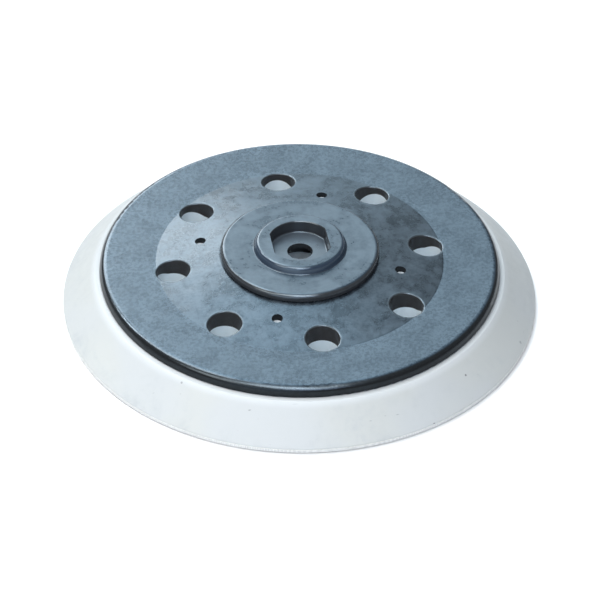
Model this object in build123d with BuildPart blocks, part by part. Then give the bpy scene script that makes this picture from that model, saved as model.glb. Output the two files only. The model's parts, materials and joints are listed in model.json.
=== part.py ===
"""Backing pad of a random orbital sander: hook-and-loop face, eight dust holes, double-D drive.

The origin is the centre of the working face, on the tips of the hooks. +Z runs up the spindle
axis, out through the drive hub. Everything is in millimetres.
"""

import os
from math import isclose

from build123d import *

# Overall size
pad_diameter = 120.6

# Dust holes and foam vents, both on circles about the spindle axis
dust_circle_diameter = 65.0
dust_hole_count = 8
dust_hole_diameter = 8.4
dust_hole_rim_radius = 0.4
facing_hole_diameter = 9.2  # punched a little larger through the film and the hook facing
vent_circle_diameter = 52.0
vent_count = 4
vent_diameter = 2.8
vent_start_angle = -22.5
vent_foam_height = 12.5  # top of the foam that stands in a vent

# Heights of the layers, from the working face upwards
hook_facing_thickness = 1.2
bond_film_thickness = 0.2
foam_rim_height = 0.25  # upright band at the foot of the foam's bevel
foam_ledge_height = 9.8

# Backing plate
plate_diameter = 101.6
plate_ring_height = 12.7  # flat outer ring of the upper face
plate_hub_face_height = 14.8  # seat of the hub's flange
ring_inner_diameter = 72.8
hub_face_diameter = 40.9
plate_edge_radius = 1.8
plate_foot_radius = 0.3
channel_web = 1.9  # thickness of the plate over the foam channel
core_depth_height = 9.1  # underside of the thick core around the hub
core_diameter = 67.0
channel_inner_diameter = 74.0
channel_outer_diameter = 95.8
skirt_inner_diameter = 97.2
hub_socket_diameter = 28.0

# Drive hub
flange_diameter = 40.3
flange_height = 16.95
flange_edge_radius = 1.1
flange_foot_chamfer = 0.35
boss_foot_diameter = 23.4
boss_rim_diameter = 22.2
boss_height = 18.8
boss_edge_radius = 1.0
boss_foot_radius = 0.35
recess_diameter = 16.0
recess_across_flats = 14.0
recess_floor_height = 15.4
recess_mouth_chamfer = 0.2
recess_floor_radius = 0.4
recess_corner_radius = 0.6
bolt_hole_diameter = 6.5
bolt_seat_height = 13.95
bolt_pocket_diameter = 15.6
bolt_pocket_radius = 0.4  # fillet between the pocket's wall and the bolt seat

# Keys that carry the drive torque from the hub into the plate
key_count = 4
key_width = 4.0
key_reach = 1.6
key_height = 3.0

# Bolt access through the foam and the facing
foam_access_diameter = 17.6
facing_access_diameter = 18.4

# Foam
foam_ledge_diameter = 104.2
foam_rim_radius = 0.5

# Derived heights
film_bottom = hook_facing_thickness
foam_bottom = film_bottom + bond_film_thickness
bevel_bottom = foam_bottom + foam_rim_height
channel_top = plate_ring_height - channel_web

os.makedirs("parts", exist_ok=True)


def circle_edges(part, diameter, height):
    """The part's circular edges of that diameter at that height."""
    return (
        part.edges()
        .filter_by(GeomType.CIRCLE)
        .filter_by(lambda edge: isclose(2 * edge.radius, diameter, abs_tol=0.02))
        .filter_by(lambda edge: isclose(edge.arc_center.Z, height, abs_tol=0.02))
    )


def upper_hole_rims(part, diameter, height):
    """The rims of the round holes of that diameter, where they break out above that height."""
    return (
        part.faces()
        .filter_by(GeomType.CYLINDER)
        .filter_by(lambda face: isclose(2 * face.radius, diameter, abs_tol=0.02))
        .edges()
        .filter_by(GeomType.LINE, reverse=True)
        .filter_by(lambda edge: edge.center().Z > height)
    )


def face_at(part, height):
    """The part's level face at that height."""
    return part.faces().filter_by(Axis.Z).filter_by_position(Axis.Z, height - 0.01, height + 0.01)[0]


def ring_profile(points):
    """A closed profile in the XZ half-plane, from (diameter, height) pairs."""
    with BuildSketch(Plane.XZ) as profile:
        with BuildLine():
            Polyline([(diameter / 2, height) for diameter, height in points], close=True)
        make_face()
    return profile.sketch


def save(name, part):
    """Labels a finished piece and writes it to its own file."""
    part.label = name
    export_step(part, f"parts/{name}.step")


# Backing plate: a stiff moulded disc. Its upper face has a flat outer ring and a shallow cone up
# to the hub. Underneath it is thick around the hub and hollowed into a channel near the rim.
with BuildPart() as backing_plate:
    add(
        ring_profile(
            [
                (hub_socket_diameter, core_depth_height),
                (core_diameter, core_depth_height),
                (channel_inner_diameter, channel_top),
                (channel_outer_diameter, channel_top),
                (skirt_inner_diameter, foam_ledge_height),
                (plate_diameter, foam_ledge_height),
                (plate_diameter, plate_ring_height),
                (ring_inner_diameter, plate_ring_height),
                (hub_face_diameter, plate_hub_face_height),
                (hub_socket_diameter, plate_hub_face_height),
            ]
        )
    )
    revolve(axis=Axis.Z)
    fillet(circle_edges(backing_plate, plate_diameter, plate_ring_height), plate_edge_radius)
    fillet(circle_edges(backing_plate, plate_diameter, foam_ledge_height), plate_foot_radius)
    with BuildSketch(Plane.XY.offset(core_depth_height)):
        with PolarLocations(dust_circle_diameter / 2, dust_hole_count):
            Circle(dust_hole_diameter / 2)
        with PolarLocations(vent_circle_diameter / 2, vent_count, start_angle=vent_start_angle):
            Circle(vent_diameter / 2)
    extrude(amount=plate_hub_face_height - core_depth_height, mode=Mode.SUBTRACT)
    dust_hole_rims = upper_hole_rims(
        backing_plate,
        diameter=dust_hole_diameter,
        height=plate_ring_height - dust_hole_rim_radius,
    )
    fillet(dust_hole_rims, dust_hole_rim_radius)
    with BuildSketch(Plane.XY.offset(core_depth_height)):
        with PolarLocations(hub_socket_diameter / 2, key_count):
            Rectangle(2 * key_reach, key_width)
    extrude(amount=key_height, mode=Mode.SUBTRACT)
save("backing_plate", backing_plate.part)


# Drive hub: a flange that sits on the plate, a boss with the double-D recess for the spindle,
# and a keyed spigot with the bolt's pocket in its underside.
with BuildPart() as drive_hub:
    add(
        ring_profile(
            [
                (0, core_depth_height),
                (hub_socket_diameter, core_depth_height),
                (hub_socket_diameter, plate_hub_face_height),
                (flange_diameter, plate_hub_face_height),
                (flange_diameter, flange_height),
                (boss_foot_diameter, flange_height),
                (boss_rim_diameter, boss_height),
                (0, boss_height),
            ]
        )
    )
    revolve(axis=Axis.Z)
    fillet(circle_edges(drive_hub, flange_diameter, flange_height), flange_edge_radius)
    chamfer(circle_edges(drive_hub, flange_diameter, plate_hub_face_height), flange_foot_chamfer)
    fillet(circle_edges(drive_hub, boss_rim_diameter, boss_height), boss_edge_radius)
    fillet(circle_edges(drive_hub, boss_foot_diameter, flange_height), boss_foot_radius)
    with BuildSketch(Plane.XY.offset(core_depth_height)):
        with PolarLocations(hub_socket_diameter / 2, key_count):
            Rectangle(2 * key_reach, key_width)
    extrude(amount=key_height)

    # The spindle's double-D recess, with its mouth broken and its floor filleted
    with BuildSketch(Plane.XY.offset(recess_floor_height)) as double_d:
        Circle(recess_diameter / 2)
        Rectangle(recess_across_flats, recess_diameter, mode=Mode.INTERSECT)
        fillet(double_d.vertices(), recess_corner_radius)
    extrude(amount=boss_height - recess_floor_height, mode=Mode.SUBTRACT)
    boss_face = drive_hub.faces().filter_by(Axis.Z).sort_by(Axis.Z)[-1]
    chamfer(boss_face.inner_wires()[0].edges(), recess_mouth_chamfer)
    fillet(face_at(drive_hub, recess_floor_height).outer_wire().edges(), recess_floor_radius)

    # The bolt's pocket below, and its hole through the floor between the two
    with BuildSketch(Plane.XY.offset(core_depth_height)):
        Circle(bolt_pocket_diameter / 2)
    extrude(amount=bolt_seat_height - core_depth_height, mode=Mode.SUBTRACT)
    fillet(circle_edges(drive_hub, bolt_pocket_diameter, bolt_seat_height), bolt_pocket_radius)
    Hole(bolt_hole_diameter / 2)
save("drive_hub", drive_hub.part)


# Foam pad: a bevelled disc moulded to the plate's underside. It fills the plate's channel, and a
# pip of it stands in each vent.
with BuildPart() as foam_pad:
    add(
        ring_profile(
            [
                (foam_access_diameter, foam_bottom),
                (pad_diameter, foam_bottom),
                (pad_diameter, bevel_bottom),
                (foam_ledge_diameter, foam_ledge_height),
                (skirt_inner_diameter, foam_ledge_height),
                (channel_outer_diameter, channel_top),
                (channel_inner_diameter, channel_top),
                (core_diameter, core_depth_height),
                (foam_access_diameter, core_depth_height),
            ]
        )
    )
    revolve(axis=Axis.Z)
    fillet(circle_edges(foam_pad, pad_diameter, bevel_bottom), foam_rim_radius)
    with BuildSketch(Plane.XY.offset(core_depth_height)):
        with PolarLocations(vent_circle_diameter / 2, vent_count, start_angle=vent_start_angle):
            Circle(vent_diameter / 2)
    extrude(amount=vent_foam_height - core_depth_height)
    with BuildSketch(Plane.XY.offset(foam_bottom)):
        with PolarLocations(dust_circle_diameter / 2, dust_hole_count):
            Circle(dust_hole_diameter / 2)
    extrude(amount=channel_top - foam_bottom, mode=Mode.SUBTRACT)
save("foam_pad", foam_pad.part)


# The outline that the bond film and the hook facing are punched to
with BuildSketch() as facing_outline:
    Circle(pad_diameter / 2)
    Circle(facing_access_diameter / 2, mode=Mode.SUBTRACT)
    with PolarLocations(dust_circle_diameter / 2, dust_hole_count):
        Circle(facing_hole_diameter / 2, mode=Mode.SUBTRACT)


# Bond film: the hot-melt layer between the foam and the facing
with BuildPart() as bond_film:
    with BuildSketch(Plane.XY.offset(film_bottom)):
        add(facing_outline.sketch)
    extrude(amount=bond_film_thickness)
save("bond_film", bond_film.part)


# Hook facing: the tape and the hooks that stand on it, as one closed layer down to their tips
with BuildPart() as hook_facing:
    with BuildSketch():
        add(facing_outline.sketch)
    extrude(amount=hook_facing_thickness)
save("hook_facing", hook_facing.part)
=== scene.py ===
"""Backing pad of a random orbital sander: moulded plate and hub on bevelled foam with hook tape.

The plate, the hub and the bond film are the CAD solids with their own materials. The foam and the
hook facing are built here, in the space that their CAD solids hold. Everything is in metres.
"""

import json
import math
import random

import bmesh
import bpy
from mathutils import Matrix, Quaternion, Vector, noise


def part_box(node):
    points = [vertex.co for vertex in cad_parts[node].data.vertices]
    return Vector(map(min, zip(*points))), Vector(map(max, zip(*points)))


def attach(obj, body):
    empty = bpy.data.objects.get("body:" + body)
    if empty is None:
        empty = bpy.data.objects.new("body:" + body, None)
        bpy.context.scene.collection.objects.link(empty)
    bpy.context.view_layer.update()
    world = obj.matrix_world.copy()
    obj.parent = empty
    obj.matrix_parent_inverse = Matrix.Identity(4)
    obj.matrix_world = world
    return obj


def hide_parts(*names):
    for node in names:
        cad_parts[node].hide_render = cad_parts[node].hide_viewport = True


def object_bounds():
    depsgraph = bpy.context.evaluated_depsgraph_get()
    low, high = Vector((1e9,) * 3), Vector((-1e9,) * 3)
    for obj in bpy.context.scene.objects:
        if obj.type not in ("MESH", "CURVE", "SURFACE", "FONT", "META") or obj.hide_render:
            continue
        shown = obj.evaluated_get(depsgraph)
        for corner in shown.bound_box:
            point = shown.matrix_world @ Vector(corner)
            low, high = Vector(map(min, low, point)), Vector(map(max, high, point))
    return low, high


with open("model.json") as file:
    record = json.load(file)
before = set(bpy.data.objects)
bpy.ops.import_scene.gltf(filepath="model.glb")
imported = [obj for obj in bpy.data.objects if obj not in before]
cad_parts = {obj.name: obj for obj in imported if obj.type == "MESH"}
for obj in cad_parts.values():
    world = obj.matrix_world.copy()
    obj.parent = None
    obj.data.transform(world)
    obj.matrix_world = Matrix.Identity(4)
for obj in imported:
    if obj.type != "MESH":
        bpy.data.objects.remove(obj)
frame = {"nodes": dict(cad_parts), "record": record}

MM = 0.001
cad_low, cad_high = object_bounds()


# ---------------------------------------------------------------- sizes from the frame

foam_low, foam_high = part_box("foam_pad")
plate_low, plate_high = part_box("backing_plate")
facing_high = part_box("hook_facing")[1]
mounts = {mount["name"]: mount for mount in frame["record"]["mounts"]}
dust = mounts["dust_holes"]["dims"]

DUST_CIRCLE_RADIUS = dust["pcd_mm"] / 2 * MM
DUST_HOLE_RADIUS = dust["hole_r_mm"] * MM
DUST_HOLE_COUNT = dust["count"]
PAD_RADIUS = foam_high.x
PLATE_RADIUS = plate_high.x
CORE_BOTTOM = plate_low.z
FOAM_BOTTOM = foam_low.z
TAPE_TOP = facing_high.z
FLOOR = cad_low.z

# Foam, as in the CAD solid: its bevel, the ledge round the plate, the channel and the vents
ACCESS_RADIUS = 8.8 * MM
BEVEL_BOTTOM = FOAM_BOTTOM + 0.25 * MM
LEDGE_HEIGHT = CORE_BOTTOM + 0.7 * MM
LEDGE_RADIUS = 52.1 * MM
SKIRT_RADIUS = 48.6 * MM
CHANNEL_OUTER_RADIUS = 47.9 * MM
CHANNEL_INNER_RADIUS = 37.0 * MM
CHANNEL_TOP = CORE_BOTTOM + 1.7 * MM
CORE_RADIUS = 33.5 * MM
VENT_CIRCLE_RADIUS = 26.0 * MM
VENT_RADIUS = 1.4 * MM
VENT_COUNT = 4
VENT_START = math.radians(-22.5)
PIP_TOP = foam_high.z

# Hook facing
TAPE_THICKNESS = 0.75 * MM
TAPE_BOTTOM = TAPE_TOP - TAPE_THICKNESS
TAPE_ACCESS_RADIUS = 9.2 * MM
TAPE_HOLE_RADIUS = 4.6 * MM
HOOK_PITCH = 1.15 * MM
HOOK_ROW_PITCH = 0.92 * HOOK_PITCH
HOOK_THICKNESS = 0.09 * MM

# Fineness of the meshes
FOAM_SEGMENTS = 720
TAPE_SEGMENTS = 360
HOLE_SEGMENTS = 96
CUT_MARGIN = 2 * MM  # how far a cutter reaches past what it cuts
SMOOTH_BELOW = 38  # degrees between two faces that still shade as one
HOOK_SMOOTH_BELOW = 60


# ---------------------------------------------------------------- mesh helpers


def polar(radius, angle, height=0.0):
    return Vector((radius * math.cos(angle), radius * math.sin(angle), height))


def spread(start, end, count):
    """Points from start up to, but not including, end, evenly spaced."""
    return [tuple(a + (b - a) * i / count for a, b in zip(start, end)) for i in range(count)]


def arc(centre, radius, start_degrees, end_degrees, count):
    """Points along an arc, both ends included."""
    turn = end_degrees - start_degrees
    angles = [math.radians(start_degrees + turn * i / count) for i in range(count + 1)]
    return [(centre[0] + radius * math.cos(a), centre[1] + radius * math.sin(a)) for a in angles]


def object_from(name, mesh):
    thing = bpy.data.objects.new(name, mesh)
    bpy.context.scene.collection.objects.link(thing)
    return thing


def revolved(name, profile, segments):
    """A closed (radius, height) profile turned about the Z axis."""
    rows = len(profile)
    vertices = []
    for step in range(segments):
        angle = 2 * math.pi * step / segments
        vertices += [polar(radius, angle, height) for radius, height in profile]
    faces = []
    for step in range(segments):
        here, there = step * rows, (step + 1) % segments * rows
        for row in range(rows):
            after = (row + 1) % rows
            faces.append((here + row, there + row, there + after, here + after))
    mesh = bpy.data.meshes.new(name)
    mesh.from_pydata(vertices, [], faces)
    thing = object_from(name, mesh)
    face_outwards(thing)
    return thing


def face_outwards(thing):
    work = bmesh.new()
    work.from_mesh(thing.data)
    bmesh.ops.recalc_face_normals(work, faces=work.faces)
    work.to_mesh(thing.data)
    work.free()


def dust_hole_cutters(radius, bottom, top):
    """Upright cylinders at the dust holes, in one object, that reach past bottom and top."""
    low, high = bottom - CUT_MARGIN, top + CUT_MARGIN
    work = bmesh.new()
    for centre in dust_hole_centres():
        made = bmesh.ops.create_cone(
            work,
            cap_ends=True,
            segments=HOLE_SEGMENTS,
            radius1=radius,
            radius2=radius,
            depth=high - low,
        )
        bmesh.ops.translate(work, verts=made["verts"], vec=(centre.x, centre.y, (high + low) / 2))
    mesh = bpy.data.meshes.new("cutters")
    work.to_mesh(mesh)
    work.free()
    return object_from("cutters", mesh)


def boolean(thing, other, operation):
    """Cuts other from thing or joins it on, and removes other."""
    modifier = thing.modifiers.new(operation, "BOOLEAN")
    modifier.operation = operation
    modifier.solver = "EXACT"
    modifier.object = other
    apply_modifiers(thing)
    bpy.data.objects.remove(other)


def apply_modifiers(thing):
    graph = bpy.context.evaluated_depsgraph_get()
    mesh = bpy.data.meshes.new_from_object(thing.evaluated_get(graph))
    thing.modifiers.clear()
    thing.data = mesh


def smooth(thing, sharp_degrees):
    """Smooth shading, but for edges that turn by more than this angle."""
    thing.data.shade_smooth()
    thing.data.set_sharp_from_angle(angle=math.radians(sharp_degrees))


def around(radius, count, start=0.0):
    """Points evenly spaced on a circle about the spindle axis."""
    return [polar(radius, start + 2 * math.pi * k / count) for k in range(count)]


def dust_hole_centres():
    return around(DUST_CIRCLE_RADIUS, DUST_HOLE_COUNT)


def vent_centres():
    return around(VENT_CIRCLE_RADIUS, VENT_COUNT, VENT_START)


# ---------------------------------------------------------------- foam


def foam_profile():
    """The foam's section, from the foot of the access hole round the outside and back."""
    shoulder_radius = 0.5 * MM
    lip_radius = 0.4 * MM
    groove_width = 0.12 * MM  # outside the plate's foot
    groove_depth = 0.14 * MM
    groove_floor = 0.3 * MM  # how far the groove reaches under the plate
    groove_end = 0.5 * MM
    break_across, break_down = 0.05 * MM, 0.04 * MM  # the groove's softened outer edge
    slope = math.degrees(math.atan2(LEDGE_HEIGHT - BEVEL_BOTTOM, PAD_RADIUS - LEDGE_RADIUS))
    outward = 90 - slope
    setback = shoulder_radius * math.tan(math.radians(outward) / 2)
    shoulder = arc(
        (PAD_RADIUS - shoulder_radius, BEVEL_BOTTOM - setback), shoulder_radius, 0, outward, 5
    )
    crest_drop = lip_radius * math.tan(math.radians(slope) / 2)
    crest = arc(
        (LEDGE_RADIUS - crest_drop, LEDGE_HEIGHT - lip_radius), lip_radius, outward, 90, 5
    )
    groove_rim = PLATE_RADIUS + groove_width
    return [
        *spread((ACCESS_RADIUS, FOAM_BOTTOM), (PAD_RADIUS, FOAM_BOTTOM), 8),
        (PAD_RADIUS, FOAM_BOTTOM),
        *shoulder[:-1],
        *spread(shoulder[-1], crest[0], 24),
        *crest[:-1],
        *spread(crest[-1], (groove_rim, LEDGE_HEIGHT), 3),
        (groove_rim, LEDGE_HEIGHT),
        (groove_rim - break_across, LEDGE_HEIGHT - break_down),
        (PLATE_RADIUS, LEDGE_HEIGHT - groove_depth),
        (PLATE_RADIUS - groove_floor, LEDGE_HEIGHT - groove_depth),
        *spread((PLATE_RADIUS - groove_end, LEDGE_HEIGHT), (SKIRT_RADIUS, LEDGE_HEIGHT), 3),
        (SKIRT_RADIUS, LEDGE_HEIGHT),
        *spread((CHANNEL_OUTER_RADIUS, CHANNEL_TOP), (CHANNEL_INNER_RADIUS, CHANNEL_TOP), 4),
        (CHANNEL_INNER_RADIUS, CHANNEL_TOP),
        *spread((CORE_RADIUS, CORE_BOTTOM), (ACCESS_RADIUS, CORE_BOTTOM), 4),
        *spread((ACCESS_RADIUS, CORE_BOTTOM), (ACCESS_RADIUS, FOAM_BOTTOM), 4),
    ]


def wobble(mesh, dents):
    """Makes the foam's outer skin a little uneven, with a few shallow dents."""
    wide, wide_lift = 14 * MM, 0.055 * MM
    narrow, narrow_lift = 3 * MM, 0.012 * MM
    start, fade = 0.5 * MM, 1.5 * MM  # outwards from the plate
    foot = FOAM_BOTTOM + 0.01 * MM
    dent_reach = 2.5  # in the dent's own sizes; beyond it the dent has faded out
    for vertex in mesh.vertices:
        point = vertex.co
        radius = math.hypot(point.x, point.y)
        outside = min(1.0, max(0.0, (radius - PLATE_RADIUS - start) / fade))
        if outside == 0 or point.z < foot:
            continue
        lift = wide_lift * noise.noise(point / wide) + narrow_lift * noise.noise(point / narrow)
        for place, size, depth in dents:
            reach = (point - place).length / size
            if reach < dent_reach:
                lift -= depth * math.exp(-reach * reach)
        normal = Vector((point.x / radius, point.y / radius, 1.0)).normalized()
        vertex.co = point + normal * lift * outside


def foam_dents(count):
    """Places, sizes and depths of small dents scattered over the bevel."""
    draw = random.Random(7)
    dents = []
    for _ in range(count):
        along = draw.uniform(0.08, 0.95)
        radius = PAD_RADIUS + (LEDGE_RADIUS - PAD_RADIUS) * along
        height = BEVEL_BOTTOM + (LEDGE_HEIGHT - BEVEL_BOTTOM) * along
        place = polar(radius, draw.uniform(0, 2 * math.pi), height)
        dents.append((place, draw.uniform(0.5, 1.6) * MM, draw.uniform(0.02, 0.09) * MM))
    return dents


def make_pips():
    """The foam that stands in the plate's vents, each with a gate dimple in its top."""
    dimple_radius = 0.45 * MM
    dimple_depth = 0.35 * MM
    edge = 0.15 * MM  # broken edge round the top
    outer = VENT_RADIUS - 0.02 * MM  # just clear of the vent's wall
    root = CORE_BOTTOM - 0.5 * MM  # inside the foam, so that the two join
    bowl = arc((0, PIP_TOP), dimple_radius, 0, -90, 4)
    bowl = [(r, PIP_TOP + (z - PIP_TOP) * dimple_depth / dimple_radius) for r, z in bowl]
    profile = [(outer, root), (outer, PIP_TOP - edge), (outer - edge, PIP_TOP), *bowl]
    segments = 40
    work = bmesh.new()
    for centre in vent_centres():
        rings = []
        for radius, height in profile[:-1]:
            lift = centre + Vector((0, 0, height))
            rings.append([work.verts.new(lift + point) for point in around(radius, segments)])
        for lower, upper in zip(rings, rings[1:]):
            for k in range(segments):
                after = (k + 1) % segments
                work.faces.new((lower[k], lower[after], upper[after], upper[k]))
        work.faces.new(list(reversed(rings[0])))
        work.faces.new(rings[-1])
    bmesh.ops.recalc_face_normals(work, faces=work.faces)
    mesh = bpy.data.meshes.new("pips")
    work.to_mesh(mesh)
    work.free()
    return object_from("pips", mesh)


def make_foam():
    foam = revolved("foam_body", foam_profile(), FOAM_SEGMENTS)
    wobble(foam.data, foam_dents(count=70))
    boolean(foam, dust_hole_cutters(DUST_HOLE_RADIUS, FOAM_BOTTOM, CHANNEL_TOP), "DIFFERENCE")
    boolean(foam, make_pips(), "UNION")
    smooth(foam, SMOOTH_BELOW)
    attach(foam, "root")
    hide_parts("foam_pad")
    return foam


# ---------------------------------------------------------------- hook facing


def make_tape():
    edge = 0.08 * MM
    profile = [
        *spread((TAPE_ACCESS_RADIUS, TAPE_BOTTOM), (PAD_RADIUS - edge, TAPE_BOTTOM), 6),
        *arc((PAD_RADIUS - edge, TAPE_BOTTOM + edge), edge, -90, 0, 3),
        *arc((PAD_RADIUS - edge, TAPE_TOP - edge), edge, 0, 90, 3),
        *spread((PAD_RADIUS - 2 * MM, TAPE_TOP), (TAPE_ACCESS_RADIUS, TAPE_TOP), 5),
        (TAPE_ACCESS_RADIUS, TAPE_TOP),
    ]
    tape = revolved("hook_tape", profile, TAPE_SEGMENTS)
    boolean(tape, dust_hole_cutters(TAPE_HOLE_RADIUS, TAPE_BOTTOM, TAPE_TOP), "DIFFERENCE")
    smooth(tape, SMOOTH_BELOW)
    return tape


def hook_outline():
    """A stem that curls over, as (sideways, downwards) shares of the hook's height."""
    sunk, bend = -0.06, 0.40  # the stem starts inside the tape
    curl_radius, curl_level, sag = 0.27, 0.62, 1.05
    curl = arc((curl_radius, curl_level), curl_radius, 180, -20, 5)
    sagging = [(x, z if z < curl_level else curl_level + (z - curl_level) * sag) for x, z in curl]
    return [(0.0, sunk), (0.0, bend), *sagging]


def add_hook(vertices, faces, root, turn, height, lean):
    """Adds one curled hook of square wire that hangs from root and thins towards its tip."""
    root_share, taper, half_width = 1.15, 0.45, 0.62
    side = Vector((math.cos(turn), math.sin(turn), 0))
    across = Vector((-side.y, side.x, 0))
    points = [
        root + side * (x * height + lean * z * height) - Vector((0, 0, z * height))
        for x, z in hook_outline()
    ]
    start = len(vertices)
    for index, point in enumerate(points):
        before, after = points[max(0, index - 1)], points[min(len(points) - 1, index + 1)]
        along = (after - before).normalized()
        bent = across.cross(along).normalized()
        share = root_share if index == 0 else 1.0 - taper * index / len(points)
        half = half_width * share * HOOK_THICKNESS
        for a, b in ((1, 1), (-1, 1), (-1, -1), (1, -1)):
            vertices.append(point + across * a * half + bent * b * half)
    for ring in range(len(points) - 1):
        for corner in range(4):
            here, there = start + ring * 4, start + ring * 4 + 4
            after = (corner + 1) % 4
            faces.append((here + corner, here + after, there + after, there + corner))
    faces.append((start + 3, start + 2, start + 1, start))
    last = start + (len(points) - 1) * 4
    faces.append((last, last + 1, last + 2, last + 3))


def clear_of_holes(x, y):
    """Whether a hook fits on the tape here."""
    margin = 0.35 * MM
    if not TAPE_ACCESS_RADIUS + margin < math.hypot(x, y) < PAD_RADIUS - margin:
        return False
    clearance = TAPE_HOLE_RADIUS + margin
    return all(math.hypot(x - hole.x, y - hole.y) > clearance for hole in dust_hole_centres())


def make_hooks():
    """Rows of hooks in four quarters of the disc; neighbouring rows curl opposite ways."""
    draw = random.Random(11)
    quarters = [([], []) for _ in range(4)]
    lowest_share = 0.96  # of a hook's height that its curl reaches, with the wire
    tallest = (TAPE_BOTTOM - FLOOR - 0.02 * MM) / lowest_share
    rows = int(2 * PAD_RADIUS / HOOK_PITCH)
    for row in range(-rows // 2, rows // 2 + 1):
        for place in range(-rows // 2, rows // 2 + 1):
            x = (place + 0.5 * (row % 2)) * HOOK_PITCH + draw.uniform(-0.08, 0.08) * MM
            y = row * HOOK_ROW_PITCH + draw.uniform(-0.06, 0.06) * MM
            turn = (0 if row % 2 else math.pi) + draw.uniform(-0.25, 0.25)
            height = tallest * draw.uniform(0.9, 1.0)
            lean = draw.uniform(-0.12, 0.12)
            if clear_of_holes(x, y):
                vertices, faces = quarters[2 * (x > 0) + (y > 0)]
                add_hook(vertices, faces, Vector((x, y, TAPE_BOTTOM)), turn, height, lean)
    hooks = []
    for number, (vertices, faces) in enumerate(quarters, start=1):
        mesh = bpy.data.meshes.new(f"hooks_{number}")
        mesh.from_pydata(vertices, [], faces)
        quarter = object_from(f"hooks_{number}", mesh)
        face_outwards(quarter)
        smooth(quarter, HOOK_SMOOTH_BELOW)
        hooks.append(quarter)
    return hooks


def make_facing():
    tape = make_tape()
    hooks = make_hooks()
    for piece in [tape, *hooks]:
        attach(piece, "root")
        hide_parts("hook_facing")
    return tape, hooks


# ---------------------------------------------------------------- materials


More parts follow.
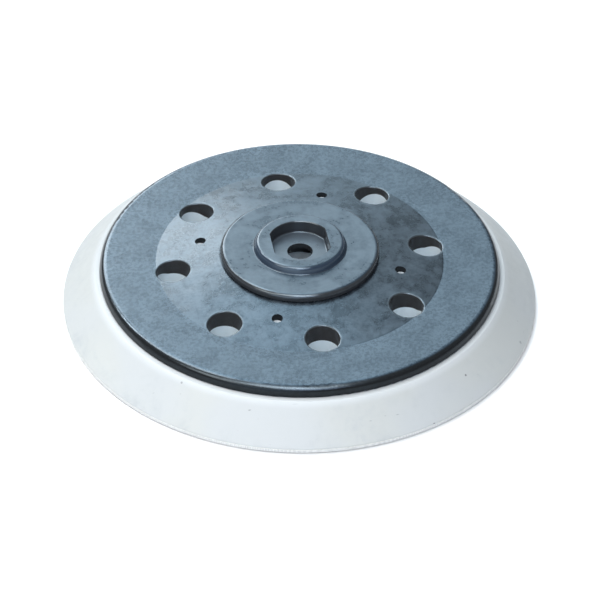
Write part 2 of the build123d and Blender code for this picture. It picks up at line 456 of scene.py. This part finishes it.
class Graph:
    """Short calls for a material's node tree. Distances inside it are in millimetres."""

    def __init__(self, name):
        self.material = bpy.data.materials.new(name)
        self.material.use_nodes = True
        self.tree = self.material.node_tree
        self.tree.nodes.clear()
        self.shader = self.node("ShaderNodeBsdfPrincipled")
        output = self.node("ShaderNodeOutputMaterial")
        self.link(self.shader.outputs["BSDF"], output.inputs["Surface"])
        coordinates = self.node("ShaderNodeTexCoord")
        self.place = self.vector("SCALE", coordinates.outputs["Object"], scale=1000.0)
        self.normal = coordinates.outputs["Normal"]

    def node(self, kind, **settings):
        made = self.tree.nodes.new(kind)
        for name, value in settings.items():
            setattr(made, name, value)
        return made

    def link(self, source, target):
        self.tree.links.new(source, target)

    def feed(self, target, value):
        """Links a socket, or sets a plain value."""
        if isinstance(value, bpy.types.NodeSocket):
            self.link(value, target)
        else:
            target.default_value = value

    def split(self, vector):
        """A vector's three parts, by name."""
        made = self.node("ShaderNodeSeparateXYZ")
        self.link(vector, made.inputs[0])
        return made.outputs

    def vector(self, operation, first, second=None, scale=None):
        made = self.node("ShaderNodeVectorMath", operation=operation)
        self.feed(made.inputs[0], first)
        if second is not None:
            self.feed(made.inputs[1], second)
        if scale is not None:
            made.inputs["Scale"].default_value = scale
        gives_number = operation in ("LENGTH", "DOT_PRODUCT")
        return made.outputs["Value" if gives_number else "Vector"]

    def math(self, operation, first, second=0.0):
        made = self.node("ShaderNodeMath", operation=operation)
        self.feed(made.inputs[0], first)
        self.feed(made.inputs[1], second)
        return made.outputs[0]

    def noise(self, scale, detail=2.0, roughness=0.5, distortion=0.0, where=None):
        made = self.node("ShaderNodeTexNoise")
        self.link(where or self.place, made.inputs["Vector"])
        made.inputs["Scale"].default_value = scale
        made.inputs["Detail"].default_value = detail
        made.inputs["Roughness"].default_value = roughness
        made.inputs["Distortion"].default_value = distortion
        return made.outputs["Fac"]

    def cells(self, scale):
        """Distance to the nearest of many scattered points, in cell widths."""
        made = self.node("ShaderNodeTexVoronoi")
        self.link(self.place, made.inputs["Vector"])
        made.inputs["Scale"].default_value = scale
        return made.outputs["Distance"]

    def spread(self, value, low, high, to_low=0.0, to_high=1.0):
        """Maps low..high of a value smoothly onto to_low..to_high, clamped."""
        made = self.node("ShaderNodeMapRange", interpolation_type="SMOOTHSTEP")
        for name, number in (
            ("Value", value),
            ("From Min", low),
            ("From Max", high),
            ("To Min", to_low),
            ("To Max", to_high),
        ):
            self.feed(made.inputs[name], number)
        return made.outputs["Result"]

    def above(self, value, limit, blur):
        """1 above the limit and 0 below it, blurred that far either side."""
        return self.spread(value, limit - blur, limit + blur)

    def below(self, value, limit, blur):
        """1 below the limit and 0 above it, blurred that far either side."""
        return self.spread(value, limit - blur, limit + blur, 1.0, 0.0)

    def mix(self, factor, first, second):
        """Mixes two colours."""
        made = self.node("ShaderNodeMix", data_type="RGBA")
        self.feed(made.inputs[0], factor)
        self.feed(made.inputs[6], (*first, 1.0) if isinstance(first, tuple) else first)
        self.feed(made.inputs[7], (*second, 1.0) if isinstance(second, tuple) else second)
        return made.outputs[2]

    def blend(self, factor, first, second):
        """Mixes two numbers."""
        made = self.node("ShaderNodeMix", data_type="FLOAT")
        for index, value in ((0, factor), (2, first), (3, second)):
            self.feed(made.inputs[index], value)
        return made.outputs[0]

    def radius(self):
        """Distance from the spindle axis."""
        flat = self.vector("MULTIPLY", self.place, (1.0, 1.0, 0.0))
        return self.vector("LENGTH", flat)

    def height(self):
        """Height above the working face."""
        return self.split(self.place)["Z"]

    def along(self, direction):
        """Distance from the spindle axis along a direction."""
        return self.vector("DOT_PRODUCT", self.place, direction)

    def facing_up(self):
        """The upward part of the surface's own normal."""
        return self.split(self.normal)["Z"]

    def from_hole(self):
        """Distance from the axis of the nearest dust hole, by the law of cosines."""
        pitch = 2 * math.pi / DUST_HOLE_COUNT
        circle = DUST_CIRCLE_RADIUS / MM
        parts = self.split(self.place)
        angle = self.math("ARCTAN2", parts["Y"], parts["X"])
        nearest = self.math("ROUND", self.math("DIVIDE", angle, pitch))
        apart = self.math("SUBTRACT", angle, self.math("MULTIPLY", nearest, pitch))
        radius = self.radius()
        doubled = self.math("MULTIPLY", radius, -2 * circle)
        product = self.math("MULTIPLY", doubled, self.math("COSINE", apart))
        squares = self.math("ADD", self.math("MULTIPLY", radius, radius), circle**2)
        return self.math("SQRT", self.math("ADD", squares, product))

    def turned(self, rings_per_mm):
        """A place that changes quickly with radius and slowly round the axis, for turning marks."""
        spun = self.node("ShaderNodeCombineXYZ")
        self.link(self.math("MULTIPLY", self.radius(), rings_per_mm), spun.inputs[0])
        slow = self.vector("SCALE", self.place, scale=0.12)
        return self.vector("ADD", spun.outputs[0], slow)

    def stretched(self, x, y, z):
        """The place, scaled differently along the three axes."""
        return self.vector("MULTIPLY", self.place, (x, y, z))

    def bump(self, height, depth_mm):
        """Relief from a height, depth_mm deep for each whole step of it."""
        made = self.node("ShaderNodeBump")
        made.inputs["Distance"].default_value = depth_mm * MM
        self.link(height, made.inputs["Height"])
        self.link(made.outputs["Normal"], self.shader.inputs["Normal"])

    def surface(self, colour, roughness, specular=0.5, ior=1.5, tint=(1.0, 1.0, 1.0), shine=None):
        """Sets the shader. shine varies the specular level, whose plain value is specular."""
        self.feed(self.shader.inputs["Base Color"], colour)
        self.feed(self.shader.inputs["Roughness"], roughness)
        self.shader.inputs["Specular IOR Level"].default_value = specular
        self.shader.inputs["Specular Tint"].default_value = (*tint, 1.0)
        self.shader.inputs["IOR"].default_value = ior
        if shine is not None:
            self.link(shine, self.shader.inputs["Specular IOR Level"])


NYLON_IOR = 1.64
PLATE_SHEEN = (0.67, 0.84, 0.98)  # the cool cast of the satin skin
HUB_SHEEN = (0.68, 0.83, 0.94)

# Where the materials change, in millimetres
CONE_RADIUS = 36.4
HOLE_WALL_RADIUS = 4.4
HOLE_RIM_RADIUS = 4.8
BOSS_WALL_RADIUS = 9.5
BOSS_WALL_FOOT = 17.0
RECESS_RADIUS = 8.2
RECESS_SHADE_TOP = 16.5
FOAM_LEDGE_RADIUS = 52.8
FOAM_UNDER_PLATE_RADIUS = 43.0
FOAM_VENT_RADIUS = 28.1
FOAM_VENT_FOOT = 11.2


def plate_material():
    """Black nylon with a satin, blue-grey sheen: grained on the outer ring, cloudy with flow marks
    on the cone around the hub, dull on the walls. Its colour holds a painted sheen on the faces
    that look up and painted highlights round the dust holes."""
    g = Graph("plate_nylon")
    outer_wall, hole_wall = (0.012, 0.013, 0.014), (0.040, 0.039, 0.040)
    painted_rim_highlight = (0.075, 0.095, 0.110)
    ring_dark, ring_light = (0.014, 0.026, 0.040), (0.052, 0.076, 0.100)
    cone_dark, cone_light = (0.002, 0.004, 0.007), (0.040, 0.052, 0.066)
    up = g.facing_up()
    from_hole = g.from_hole()
    on_cone = g.below(g.radius(), CONE_RADIUS, 0.2)
    grain = g.noise(1.3, detail=3.0, roughness=0.7)
    fine = g.noise(3.2, detail=2.0, roughness=0.6)
    swell = g.noise(0.17, detail=2.0, roughness=0.45)
    cloud = g.spread(g.noise(0.15, detail=4.0, roughness=0.58, distortion=0.35), 0.30, 0.70)
    patches = g.spread(g.noise(0.45, detail=4.0, roughness=0.65), 0.28, 0.72)

    # How light each place is, from 0 to 1
    speckle = g.blend(0.45, g.spread(grain, 0.30, 0.70), g.spread(fine, 0.34, 0.66))
    mottle = g.blend(0.45, cloud, patches)
    ring_tone = g.blend(0.30, speckle, cloud)
    tone = g.blend(on_cone, ring_tone, g.blend(0.45, mottle, speckle))

    wall = g.mix(g.below(from_hole, HOLE_WALL_RADIUS, 0.1), outer_wall, hole_wall)
    ring = g.mix(ring_tone, ring_dark, ring_light)
    cone = g.mix(mottle, cone_dark, cone_light)
    # Painted sheen: faces that look up take the blue-grey ring and cone colours, walls and fillets
    # the near-black wall colours.
    colour = g.mix(g.spread(up, 0.86, 0.985), wall, g.mix(on_cone, ring, cone))
    # Painted highlight: a lighter ring on the upward part of each dust hole's rim.
    near_hole = g.below(from_hole, HOLE_RIM_RADIUS, 0.25)
    at_rim = g.math("MULTIPLY", near_hole, g.spread(up, 0.3, 0.8, 0.0, 0.6))
    colour = g.mix(at_rim, colour, painted_rim_highlight)

    ring_rough = g.spread(grain, 0.3, 0.7, 0.24, 0.32)
    cone_rough = g.spread(mottle, 0.0, 1.0, 0.25, 0.33)
    edge_rough = g.blend(g.spread(up, 0.15, 0.45), 0.42, 0.21)
    flat_rough = g.blend(on_cone, ring_rough, cone_rough)
    rough = g.blend(g.spread(up, 0.93, 0.98), edge_rough, flat_rough)

    ring_shine = g.spread(tone, 0.2, 0.8, 0.66, 1.0)
    cone_shine = g.spread(tone, 0.25, 0.75, 0.58, 1.0)
    shine = g.blend(on_cone, ring_shine, cone_shine)
    shine = g.math("MULTIPLY", shine, g.spread(up, 0.45, 0.78, 0.20, 1.0))
    g.surface(colour, rough, specular=0.85, ior=NYLON_IOR, tint=PLATE_SHEEN, shine=shine)

    relief = g.blend(0.35, grain, fine)
    unevenness = g.math("MULTIPLY", swell, g.blend(on_cone, 2.0, 4.5))
    g.bump(g.math("ADD", relief, unevenness), 0.030)
    return g.material


def hub_material():
    """The same nylon, smoother, with faint clouds and arcs left by the mould's turning."""
    g = Graph("hub_nylon")
    flange_wall, boss_wall_painted_reflection = (0.034, 0.037, 0.041), (0.030, 0.045, 0.070)
    dark, light = (0.020, 0.034, 0.050), (0.060, 0.082, 0.104)
    recess_wall, recess_floor = (0.030, 0.032, 0.036), (0.070, 0.088, 0.106)
    up = g.facing_up()
    radius = g.radius()
    height = g.height()
    cloud = g.noise(0.20, detail=3.0, roughness=0.5)
    blotch = g.noise(0.8, detail=2.0, roughness=0.5)
    grain = g.noise(2.2, detail=1.0, roughness=0.5)
    rings = g.noise(1.0, detail=0.0, where=g.turned(1.1))
    arcs = g.noise(1.0, detail=2.0, where=g.turned(0.7))
    swell = g.noise(0.20, detail=2.0, roughness=0.5)

    # How light each place is, from 0 to 1
    clouds = g.blend(0.30, g.spread(cloud, 0.34, 0.66), g.spread(blotch, 0.25, 0.75))
    marks = g.blend(0.3, g.spread(arcs, 0.25, 0.75), g.spread(grain, 0.2, 0.8))
    tone = g.blend(0.30, clouds, marks)

    # The boss's outer wall is painted bluer and lighter than the flange's wall: a painted
    # reflection.
    above_flange = g.above(height, BOSS_WALL_FOOT, 0.2)
    on_boss = g.math("MULTIPLY", above_flange, g.above(radius, BOSS_WALL_RADIUS, 0.1))
    wall = g.mix(on_boss, flange_wall, boss_wall_painted_reflection)
    # Painted sheen: faces that look up take the blue-grey tones, walls the darker wall colours.
    colour = g.mix(g.spread(up, 0.80, 0.98), wall, g.mix(tone, dark, light))
    # Painted light: the recess floor is painted lighter than the hub's other faces.
    deep = g.below(height, RECESS_SHADE_TOP, 0.1)
    in_recess = g.math("MULTIPLY", g.below(radius, RECESS_RADIUS, 0.1), deep)
    recess = g.mix(g.spread(up, 0.5, 0.9), recess_wall, recess_floor)
    colour = g.mix(in_recess, colour, recess)

    rough = g.blend(g.spread(up, 0.93, 0.98), 0.18, g.spread(tone, 0.0, 1.0, 0.26, 0.35))
    shine = g.spread(tone, 0.1, 0.9, 0.66, 0.94)
    shine = g.math("MULTIPLY", shine, g.spread(up, 0.0, 0.60, 0.45, 1.0))
    g.surface(colour, rough, specular=0.8, ior=NYLON_IOR, tint=HUB_SHEEN, shine=shine)

    relief = g.blend(0.4, g.math("MULTIPLY", grain, 0.5), rings)
    g.bump(g.math("ADD", relief, g.math("MULTIPLY", swell, 5.0)), 0.009)
    return g.material


def foam_material():
    """Off-white integral-skin polyurethane: fine pores, cloudy tint, smudges, specks and scuffs.
    Painted shade darkens it towards the back and the right, a painted highlight lightens the ledge
    by the plate, and painted light makes it pale and bluish where the plate covers it."""
    g = Graph("pad_foam")
    cool, warm = (0.555, 0.578, 0.584), (0.562, 0.580, 0.566)
    smudged, painted_shade = (0.470, 0.500, 0.512), (0.34, 0.36, 0.37)
    speck_colour, scuff_colour = (0.10, 0.10, 0.11), (0.26, 0.28, 0.29)
    ledge, painted_hole_light, pip = (0.655, 0.685, 0.695), (0.74, 0.83, 0.88), (0.64, 0.70, 0.74)
    radius = g.radius()
    colour = g.mix(g.spread(g.noise(0.035, detail=2.0), 0.4, 0.6), cool, warm)

    smudge = g.noise(0.07, detail=6.0, roughness=0.68, distortion=0.8)
    streak = g.noise(0.5, detail=4.0, roughness=0.65)
    dirt = g.math("MULTIPLY", g.spread(smudge, 0.45, 0.72), g.spread(streak, 0.32, 0.68, 0.15, 0.9))
    towards_rim = g.spread(radius, 54.0, 60.0, 0.45, 1.0)
    colour = g.mix(g.math("MULTIPLY", dirt, towards_rim), colour, smudged)

    scuffs = g.noise(0.55, detail=2.0, roughness=0.7, where=g.stretched(0.35, 1.0, 1.6))
    colour = g.mix(g.spread(scuffs, 0.715, 0.76, 0.0, 0.75), colour, scuff_colour)
    speck_size = g.spread(g.noise(0.3, detail=0.0), 0.42, 0.66, 0.0, 0.065)
    speck = g.math("LESS_THAN", g.cells(0.16), speck_size)
    colour = g.mix(g.math("MULTIPLY", speck, 0.85), colour, speck_colour)

    # A painted highlight: the ledge next to the plate is lighter than the rest of the foam.
    colour = g.mix(g.above(radius, FOAM_LEDGE_RADIUS, 0.8), ledge, colour)
    # Painted shade: the foam is darker towards the back and towards the right back.
    back, right_back = g.along((0.0, 1.0, 0.0)), g.along((0.82, 0.57, 0.0))
    colour = g.mix(g.spread(back, -40.0, 45.0, 0.0, 0.5), colour, painted_shade)
    colour = g.mix(g.spread(right_back, -25.0, 50.0, 0.0, 0.38), colour, painted_shade)
    # Painted light: the foam under the plate, seen in the dust holes and the access hole, is
    # painted pale and bluish; the pips in the vents keep their own colour.
    high_up = g.above(g.height(), FOAM_VENT_FOOT, 0.2)
    in_vent = g.math("MULTIPLY", high_up, g.below(radius, FOAM_VENT_RADIUS, 0.1))
    covered = g.mix(in_vent, painted_hole_light, pip)
    colour = g.mix(g.above(radius, FOAM_UNDER_PLATE_RADIUS, 1.0), covered, colour)
    g.surface(colour, g.spread(streak, 0.3, 0.7, 0.44, 0.60), specular=0.4)

    pits = g.spread(g.cells(1.1), 0.0, 0.22)
    skin = g.noise(0.9, detail=4.0, roughness=0.6)
    g.bump(g.blend(0.65, pits, skin), 0.035)
    return g.material


def film_material():
    """Hot-melt film squeezed between foam and tape: glossy, slightly yellow, with beads."""
    g = Graph("hot_melt_film")
    beads = g.noise(0.9, detail=3.0, roughness=0.6, distortion=0.6)
    colour = g.mix(g.spread(beads, 0.35, 0.65), (0.70, 0.70, 0.66), (0.80, 0.80, 0.76))
    g.surface(colour, g.spread(beads, 0.3, 0.7, 0.22, 0.4))
    g.bump(beads, 0.03)
    return g.material


def tape_material():
    """The hook tape's knitted nylon ground, under a thin binder."""
    g = Graph("hook_tape_ground")
    wave = g.node("ShaderNodeTexWave", wave_type="BANDS", bands_direction="X")
    cross = g.node("ShaderNodeTexWave", wave_type="BANDS", bands_direction="Y")
    for bands, scale in ((wave, 1.05), (cross, 1.45)):  # threads 0.30 and 0.22 mm apart
        g.link(g.place, bands.inputs["Vector"])
        bands.inputs["Scale"].default_value = scale
        bands.inputs["Distortion"].default_value = 0.6
        bands.inputs["Detail"].default_value = 2.0
    weave = g.math("MULTIPLY", wave.outputs["Fac"], cross.outputs["Fac"])
    fibre = g.noise(4.0, detail=3.0, roughness=0.7)
    tone = g.blend(0.4, weave, fibre)
    colour = g.mix(g.spread(tone, 0.1, 0.7), (0.62, 0.63, 0.62), (0.82, 0.83, 0.82))
    g.surface(colour, g.spread(fibre, 0.3, 0.7, 0.55, 0.75), specular=0.35)
    g.bump(tone, 0.09)
    return g.material


def hook_material():
    """Drawn nylon hooks, a little cloudy and brighter than the ground."""
    g = Graph("hook_nylon")
    tint = g.noise(0.5, detail=3.0, roughness=0.6)
    draw_marks = g.noise(9.0, detail=2.0)
    colour = g.mix(g.spread(tint, 0.35, 0.65), (0.80, 0.82, 0.82), (0.88, 0.89, 0.89))
    g.surface(colour, g.spread(draw_marks, 0.3, 0.7, 0.30, 0.42))
    g.bump(draw_marks, 0.006)
    return g.material


def floor_material():
    """A matte pale sweep with the faintest mottling."""
    g = Graph("studio_floor")
    tone = g.noise(0.01, detail=3.0)
    colour = g.mix(g.spread(tone, 0.3, 0.7), (0.93, 0.93, 0.93), (0.95, 0.95, 0.95))
    g.surface(colour, 0.9, specular=0.1)
    return g.material


def backdrop_material():
    """A pale wall that glows evenly, with the faintest mottling."""
    g = Graph("studio_backdrop")
    tone = g.noise(0.01, detail=3.0)
    g.surface((0.9, 0.9, 0.9, 1.0), 0.9, specular=0.0)
    glow = g.mix(g.spread(tone, 0.3, 0.7), (0.97, 0.97, 0.97), (1.0, 1.0, 1.0))
    g.link(glow, g.shader.inputs["Emission Color"])
    g.shader.inputs["Emission Strength"].default_value = 1.0
    g.material.cycles.emission_sampling = "NONE"
    return g.material


def dress(thing, material):
    thing.data.materials.clear()
    thing.data.materials.append(material)


# ---------------------------------------------------------------- studio

VIEW_AZIMUTH = math.radians(-10.42)
VIEW_ELEVATION = math.radians(38.79)
VIEW_ROLL = math.radians(0.68)
VIEW_PAN = math.radians(0.010)
VIEW_TILT = math.radians(-0.023)
VIEW_DISTANCE = 0.9013
VIEW_LENS = 211.2
AIM = Vector((0.0, 0.0, FLOOR))
LIGHT_DISTANCE = 2.0
FLOOR_HALF = 6.0
BACKDROP_RADIUS = 1.3
BACKDROP_TOP = 1.5


def toward(turn_degrees, elevation_degrees):
    """A direction in the camera's terms: turn 0 is from the camera's side, 90 from its right."""
    angle = VIEW_AZIMUTH - math.pi / 2 + math.radians(turn_degrees)
    elevation = math.radians(elevation_degrees)
    level = math.cos(elevation)
    return Vector((level * math.cos(angle), level * math.sin(angle), math.sin(elevation)))


def make_camera():
    data = bpy.data.cameras.new("camera")
    data.lens = VIEW_LENS
    data.sensor_width = 36.0
    data.clip_start, data.clip_end = 0.01, 20.0
    camera = bpy.data.objects.new("camera", data)
    bpy.context.scene.collection.objects.link(camera)
    back = toward(0, math.degrees(VIEW_ELEVATION))
    camera.location = AIM + back * VIEW_DISTANCE
    camera.rotation_mode = "QUATERNION"
    centred = (-back).to_track_quat("-Z", "Y")
    framed = centred @ Quaternion((1, 0, 0), VIEW_TILT) @ Quaternion((0, 1, 0), -VIEW_PAN)
    camera.rotation_quaternion = framed @ Quaternion((0, 0, 1), VIEW_ROLL)
    bpy.context.scene.camera = camera


def make_light(name, turn, elevation, size, radiance):
    """A round softbox that looks at the pad. Its radiance is given as red, green and blue, and its
    energy is its strongest radiance times pi times its area."""
    strongest = max(radiance)
    data = bpy.data.lights.new(name, "AREA")
    data.shape = "DISK"
    data.size = size
    data.energy = strongest * math.pi * math.pi * (size / 2) ** 2
    data.color = [part / strongest for part in radiance]
    light = bpy.data.objects.new(name, data)
    bpy.context.scene.collection.objects.link(light)
    way = toward(turn, elevation)
    light.location = AIM + way * LIGHT_DISTANCE
    light.rotation_mode = "QUATERNION"
    light.rotation_quaternion = (-way).to_track_quat("-Z", "Y")
    light.visible_camera = False


def make_backdrop():
    """A pale wall all round. Only the camera sees it, so it casts no light or shadow."""
    segments = 96
    foot = [Vector((point.x, point.y, FLOOR)) for point in around(BACKDROP_RADIUS, segments)]
    head = [Vector((point.x, point.y, BACKDROP_TOP)) for point in foot]
    faces = []
    for k in range(segments):
        after = (k + 1) % segments
        faces.append((k, segments + k, segments + after, after))
    mesh = bpy.data.meshes.new("backdrop")
    mesh.from_pydata(foot + head, [], faces)
    backdrop = object_from("backdrop", mesh)
    dress(backdrop, backdrop_material())
    backdrop.visible_diffuse = False
    backdrop.visible_glossy = False
    backdrop.visible_transmission = False
    backdrop.visible_shadow = False


def make_studio():
    mesh = bpy.data.meshes.new("floor")
    turns = ((-1, -1), (1, -1), (1, 1), (-1, 1))
    corners = [(x * FLOOR_HALF, y * FLOOR_HALF, FLOOR) for x, y in turns]
    mesh.from_pydata(corners, [], [(0, 1, 2, 3)])
    floor = object_from("floor", mesh)
    dress(floor, floor_material())
    make_backdrop()
    world = bpy.data.worlds.new("studio")
    world.use_nodes = True
    background = world.node_tree.nodes["Background"]
    background.inputs["Color"].default_value = (1.0, 1.0, 1.0, 1.0)
    background.inputs["Strength"].default_value = 0.09
    bpy.context.scene.world = world
    make_light("front_high", -8, 62, 1.4, (4.0, 4.0, 4.0))
    make_light("front_edge", 0, 64, 0.3, (8.0, 9.0, 10.0))
    make_light("front", 8, 38, 1.0, (2.0, 2.3, 2.9))
    make_light("front_low", -18, 10, 1.5, (1.0, 1.2, 1.4))
    make_light("left_front", -50, 38, 1.0, (3.0, 2.8, 2.6))
    make_light("left_high", -120, 62, 1.0, (5.2, 5.2, 5.2))
    make_light("left_edge", -124, 42, 0.4, (12.0, 12.4, 12.6))
    make_light("back_left", -157, 30, 1.0, (5.4, 5.6, 5.7))
    make_light("back", -178, 40, 1.0, (1.0, 1.2, 1.3))
    make_light("back_high", -168, 60, 1.0, (1.9, 2.5, 2.9))
    make_light("back_low", 180, 12, 1.0, (0.9, 1.2, 1.4))
    make_light("top", 0, 86, 1.0, (1.0, 1.1, 1.2))
    bpy.context.scene.view_settings.view_transform = "Standard"
    bpy.context.scene.view_settings.look = "None"


make_camera()
make_studio()
dress(frame["nodes"]["backing_plate"], plate_material())
dress(frame["nodes"]["drive_hub"], hub_material())
dress(frame["nodes"]["bond_film"], film_material())
dress(make_foam(), foam_material())
tape, hooks = make_facing()
dress(tape, tape_material())
shared_hook_material = hook_material()
for quarter in hooks:
    dress(quarter, shared_hook_material)
